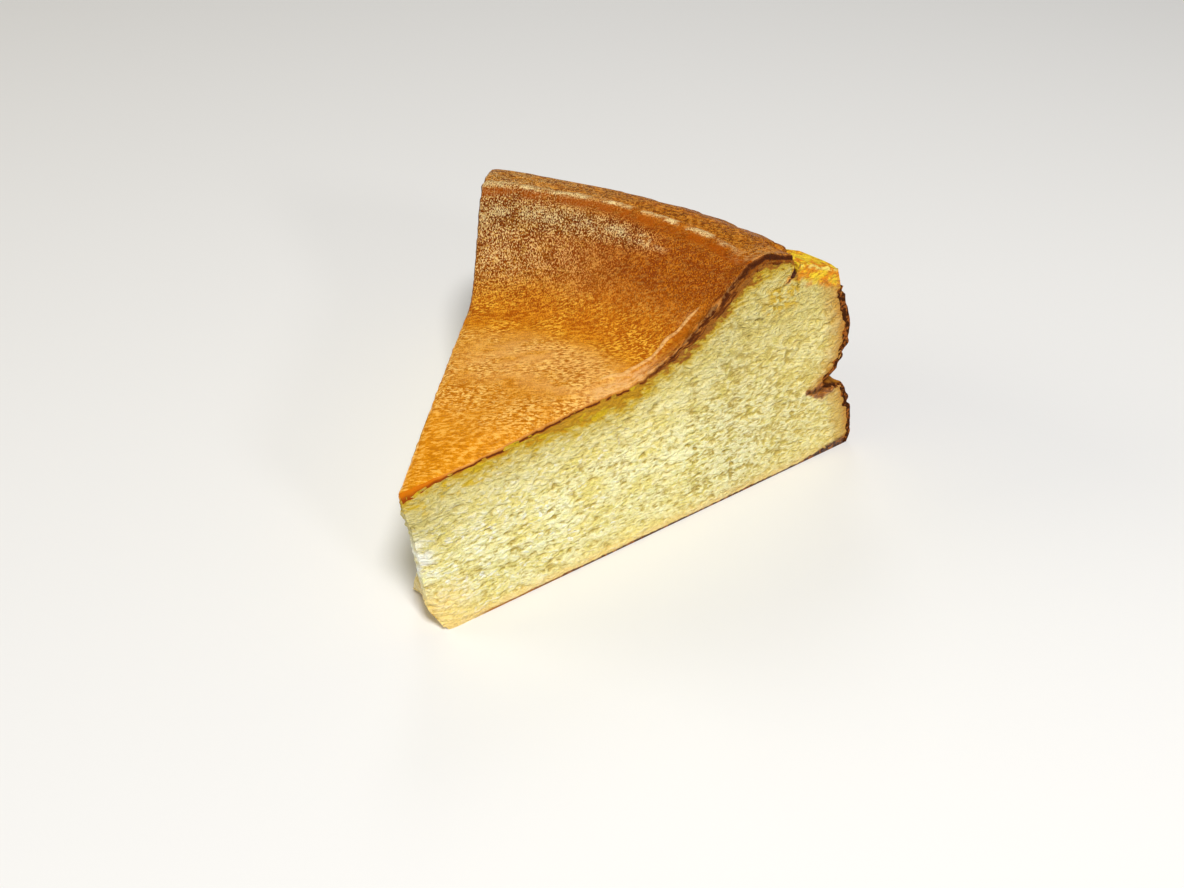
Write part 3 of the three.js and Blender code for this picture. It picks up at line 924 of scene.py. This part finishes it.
def skin_finish():
    f = Finish("browned_top_skin")
    here = f.place()
    out, arc, side, face = (f.value(n) for n in ("out", "arc", "side", "face"))
    from_right, from_left = f.value("from_right"), f.value("from_left")
    at_cut, relief, past_crest = (f.value(n) for n in ("at_cut", "relief", "past_crest"))
    on_top = 1 - side
    streaked = f.turned(here, 33, (2.4, 1, 1))
    drift = (f.noise(here, 9, 3) - 0.5) * 7
    colour = f.ramp(
        out + drift,
        [
            (0, shade(219, 140, 9)),
            (30, shade(216, 134, 10)),
            (48, shade(210, 138, 28)),
            (53, shade(188, 104, 0)),
            (60, shade(174, 90, 0)),
            (66, shade(142, 60, 0)),
            (74, shade(144, 62, 0)),
            (79, shade(186, 104, 10)),
            (90, shade(176, 92, 6)),
        ],
    )
    leftness = f.gone(arc + out * 0.1, -26, 18)
    streak = f.noise(streaked, 0.6, 3, 0.7)
    streaky = 1 - f.fade(out, 56, 66) * (1 - leftness) * 0.7
    colour = f.blend(f.fade(streak, 0.5, 0.6) * streaky * 0.55, colour, shade(254, 196, 92))
    colour = f.blend(f.gone(streak, 0.4, 0.5) * streaky * 0.5, colour, shade(158, 84, 0))
    cloudy = f.patches(here, 5, 4, 0.45, 0.7, 0.6) * streaky
    colour = f.blend(cloudy * 0.25, colour, shade(234, 160, 36))

    # Grain, strongest towards the left and in a band just inside the crest; its pale flecks are
    # partly painted sparkle.
    band = f.within(past_crest, -9.5, -7.5, -4.8, -3.4) * f.gone(arc, 0, 14)
    far = f.fade(out, 50, 64)
    outer_rim = f.fade(past_crest, 0.4, 1.6) * on_top
    grainy = f.fade(out, 14, 32) * 0.45 + far * (leftness * 0.65 + 0.15) + band * 0.7
    grainy = grainy * (1 - outer_rim * 0.6)
    grainy = grainy + outer_rim * f.patches(here, 2.4, 3, 0.36, 0.56) * 0.85
    grain = f.noise(f.turned(here, 33, (1, 1.9, 1.9)), 0.22, 2, 0.6)
    grain = grain + (f.noise(here, 3, 2) - 0.5) * 0.2
    pale_far = f.blend(leftness + band * 0.5, shade(222, 134, 26), shade(255, 214, 142))
    pale_grain_and_sparkle = f.blend(far, shade(252, 184, 76), pale_far)
    dark_grain = f.blend(far, shade(164, 88, 4), shade(114, 50, 0))
    colour = f.blend(f.fade(grain, 0.52, 0.61) * grainy, colour, pale_grain_and_sparkle)
    colour = f.blend(f.gone(grain, 0.36, 0.47) * grainy, colour, dark_grain)
    rim_grain = f.noise(here, 0.75, 3, 0.65)
    colour = f.blend(outer_rim * f.fade(rim_grain, 0.52, 0.6) * 0.6, colour, shade(232, 158, 58))
    colour = f.blend(outer_rim * f.gone(rim_grain, 0.4, 0.48) * 0.6, colour, shade(116, 52, 0))

    # The crest: a broken pale line and a glossy one further in, both painted highlights, and a
    # reddish groove between.
    rough_crest = past_crest + (f.noise(streaked, 0.5, 3, 0.7) - 0.5) * 2.2
    crest = f.within(rough_crest, -1.0, -0.3, 0.4, 1.3) * on_top
    crest = crest * f.fade(from_right, 5, 13) * f.patches(here, 3.2, 3, 0.36, 0.6)
    crest = crest * (f.fade(grain, 0.38, 0.56) * 0.75 + 0.25)
    colour = f.blend(crest, colour, shade(255, 224, 156))
    # Painted highlight: the glossy line further in.
    crest_gloss_highlight = f.within(rough_crest, -7.6, -6.6, -5.6, -4.8) * f.gone(arc, 4, 14)
    crest_gloss_highlight = crest_gloss_highlight * f.patches(here, 2.6, 3, 0.44, 0.58) * f.fade(grain, 0.42, 0.58)
    colour = f.blend(crest_gloss_highlight * 0.85, colour, shade(255, 224, 158))
    groove = f.within(past_crest, -3.6, -2.2, -1.4, -0.4) * on_top
    groove = groove * f.patches(here, 3, 3, 0.3, 0.6)
    colour = f.blend(groove * 0.8, colour, shade(170, 80, 0))

    # A painted sheen, duller and paler, over the flat of the bowl, and fine wrinkles.
    bowl_sheen = f.within(out + drift, 30, 36, 46, 51) * f.fade(arc, -20, -6)
    bowl_sheen = bowl_sheen * f.patches(streaked, 2.5, 4, 0.3, 0.6, 0.6)
    colour = f.blend(bowl_sheen * 0.6, colour, shade(238, 176, 96))
    wrinkle = f.noise(streaked, 0.38, 2, 0.6)
    wrinkled = f.within(out, 12, 30, 54, 64) * on_top * f.patches(here, 7, 3, 0.36, 0.6)
    colour = f.blend(f.fade(wrinkle, 0.52, 0.6) * wrinkled, colour, shade(255, 206, 112))
    colour = f.blend(f.gone(wrinkle, 0.4, 0.48) * wrinkled * 0.9, colour, shade(176, 96, 0))
    # Richer where the bowl bends up.
    bend = f.within(out + drift * 0.6, 44, 50, 57, 64) * on_top
    colour = f.blend(bend * 0.9, colour, (0.94, 0.76, 0.18, 1), "MULTIPLY")

    # By the cuts: a painted highlight along the rounded right edge and on the ridge of the crease
    # beside it, and a line of bare cream on the left.
    edge_highlight_reach = f.within(out, 40, 54, 66, 72) * 0.6
    edge_highlight = f.gone(from_right + f.noise(here, 1.5, 2), 0.4, 0.8) * on_top
    colour = f.blend(edge_highlight * edge_highlight_reach, colour, shade(232, 178, 104))
    strip = f.within(out, 36, 42, 50, 58) * f.gone(from_right, 1.6, 2.6)
    stripes = f.patches(f.vector(out * 0.25, from_right), 0.4, 2, 0.42, 0.58)
    colour = f.blend(strip * (stripes * 0.6 + 0.25), colour, shade(238, 184, 116))
    valley = f.within(from_right, 0.5, 1.0, 2.2, 3.0) * f.within(out, 48, 56, 58, 68)
    colour = f.blend(valley * 0.6, colour, shade(176, 96, 10))
    # A painted highlight on the crease's ridge.
    ridge_highlight = f.fade(relief, 0.24, 0.42) * f.within(from_right, 1, 2, 4, 5)
    colour = f.blend(ridge_highlight * (f.fade(streak, 0.42, 0.52) * 0.5 + 0.4), colour, shade(238, 184, 112))
    worn_end = f.within(out, 73, 76, 81, 84) * f.gone(from_right, 4, 9)
    colour = f.blend(worn_end * f.fade(streak, 0.46, 0.56) * 0.6, colour, shade(224, 168, 100))
    bare = f.gone(from_left + f.noise(here, 2.5, 2) * 1.4, 0.5, 1.0) * on_top
    colour = f.blend(bare * 0.7, colour, shade(244, 214, 150))

    # The side was against paper: browner, dry and blotched.
    blotches = f.patches(here, 5, 5, 0.38, 0.62, 0.65)
    side_colour = f.blend(blotches, shade(122, 64, 12), shade(184, 118, 34))
    side_colour = f.blend(f.gone(relief, -0.5, -0.1), side_colour, shade(78, 38, 8))
    colour = f.blend(side, colour, side_colour)

    # The skin seen in section: dark and braided under the slope, lighter over the bowl.
    braided = f.within(out, 46, 58, 66, 75)
    layer = face + (f.noise(here, 1.1, 3, 0.6) - 0.5) * (0.45 + braided * 0.9)
    section = f.ramp(
        layer,
        [
            (0, shade(92, 40, 4)),
            (0.2, shade(112, 54, 6)),
            (0.42, shade(156, 84, 16)),
            (0.62, shade(74, 30, 3)),
            (0.92, shade(84, 36, 4)),
            (1.15, shade(184, 112, 50)),
        ],
    )
    # A painted highlight along the section's rounded top edge.
    section_edge_highlight = f.fade(layer, 0.86, 1.05) * f.within(out, 40, 54, 66, 72)
    section = f.blend(section_edge_highlight * 0.8, section, shade(226, 170, 100))
    thin_section = f.ramp(
        layer,
        [
            (0, shade(206, 146, 30)),
            (0.28, shade(172, 96, 12)),
            (0.38, shade(96, 42, 6)),
            (0.62, shade(104, 46, 6)),
            (0.76, shade(190, 116, 36)),
            (1.1, shade(232, 164, 84)),
        ],
    )
    section = f.blend(f.gone(out + drift, 44, 56), section, thin_section)
    down = face * 2 - from_right
    braid = f.patches(f.vector(out * 0.35 + down * 0.5, down), 0.5, 2, 0.5, 0.62)
    strands = f.blend(braid, shade(88, 38, 3), shade(192, 118, 44))
    section = f.blend(braided * f.fade(face, 0.12, 0.4) * 0.7, section, strands)
    crust = f.patches(here, 0.9, 3, 0.46, 0.62, 0.6)
    section = f.blend(side, section, f.blend(crust, shade(66, 30, 4), shade(164, 92, 32)))
    tip_section = f.blend(f.fade(face, 0.3, 0.9), shade(150, 66, 0), shade(206, 112, 4))
    section = f.blend(f.gone(out + drift * 0.5, 6, 12), section, tip_section)
    edge = braided * f.gone(from_right, 0.5, 1.1) * on_top
    colour = f.blend(edge * 0.6, colour, strands)
    colour = f.blend(f.fade(at_cut, 0.5, 0.9), colour, section)
    return f.done(
        Base_Color=colour,
        Roughness=0.36 + f.noise(here, 3, 3) * 0.14 + side * 0.3,
        Normal=f.bump(grain * (grainy + 0.25), 0.5, f.bump(streak, 0.2)),
        IOR=1.2,
        Specular_IOR_Level=0.3,
        Subsurface_Weight=0.04,
        Subsurface_Radius=(1.0, 0.5, 0.2),
        Subsurface_Scale=0.0005,
    )


def floor_finish():
    f = Finish("pale_floor")
    return f.done(Base_Color=(0.80, 0.79, 0.77, 1), Roughness=0.7)


# ---------------------------------------------------------------- the studio

AIM_OFFSET = Vector((7.33, -5.02, -10.22))  # from the slice's middle to where the camera aims
CAMERA_AZIMUTH = math.radians(34.53)
CAMERA_ELEVATION = math.radians(39.88)
CAMERA_ROLL = math.radians(-2.56)
CAMERA_DISTANCE = 226.2
LENS = 35
FILM_WIDTH = 36

WHITE = (1, 1, 1)
FAINTLY_WARM = (1, 0.94, 0.80)
# Each lamp's way from the slice; its distance and width in metres; its power in watts; its tint.
LAMPS = {
    "key_light": ((0.42, -0.32, 0.85), 0.9, 0.2, 7.8, WHITE),
    "back_light": ((-0.42, 0.64, 0.64), 0.9, 0.3, 0.8, WHITE),
    "fill_light": ((0.85, -0.3, 0.42), 1.0, 0.15, 1.4, WHITE),
    "left_light": ((-0.85, -0.4, 0.4), 1.0, 0.5, 2.9, FAINTLY_WARM),
}
ROOM_LIGHT = 0.12
FLOOR_HALF_WIDTH = 1.5


def set_camera(middle):
    towards_camera = Vector((
        math.cos(CAMERA_ELEVATION) * math.sin(CAMERA_AZIMUTH),
        -math.cos(CAMERA_ELEVATION) * math.cos(CAMERA_AZIMUTH),
        math.sin(CAMERA_ELEVATION),
    ))
    lens = bpy.data.cameras.new("camera")
    lens.lens = LENS
    lens.sensor_width = FILM_WIDTH
    lens.clip_start = 0.01
    stand_at = middle + AIM_OFFSET * MM + CAMERA_DISTANCE * MM * towards_camera
    level = (-towards_camera).to_track_quat("-Z", "Y").to_matrix()
    turn = level @ Matrix.Rotation(CAMERA_ROLL, 3, "Z")
    place = Matrix.LocRotScale(stand_at, turn, None)
    bpy.context.scene.camera = show("camera", lens, place)


def set_lamps(middle):
    for name, (way, distance, width, power, tint) in LAMPS.items():
        light = bpy.data.lights.new(name, "AREA")
        light.shape = "DISK"
        light.size = width
        light.energy = power
        light.color = tint
        way = Vector(way).normalized()
        turn = way.to_track_quat("Z", "Y")
        show(name, light, Matrix.LocRotScale(middle + way * distance, turn, None))
    world = bpy.data.worlds.new("studio")
    world.use_nodes = True
    background = world.node_tree.nodes["Background"]
    background.inputs["Color"].default_value = (*WHITE, 1)
    background.inputs["Strength"].default_value = ROOM_LIGHT
    bpy.context.scene.world = world
    bpy.context.scene.view_settings.view_transform = "Standard"


def lay_floor():
    bm = bmesh.new()
    bmesh.ops.create_grid(bm, x_segments=1, y_segments=1, size=FLOOR_HALF_WIDTH)
    sheet = bpy.data.meshes.new("floor")
    bm.to_mesh(sheet)
    bm.free()
    sheet.materials.append(floor_finish())
    show("floor", sheet)


def studio():
    middle = (Vector(cad_box[0]) + Vector(cad_box[1])) / 2
    set_camera(middle)
    set_lamps(middle)
    lay_floor()


studio()
for piece in (crumb_piece(crumb_finish()), skin_piece(skin_finish())):
    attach(piece, "root")
    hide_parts("cheesecake_slice")
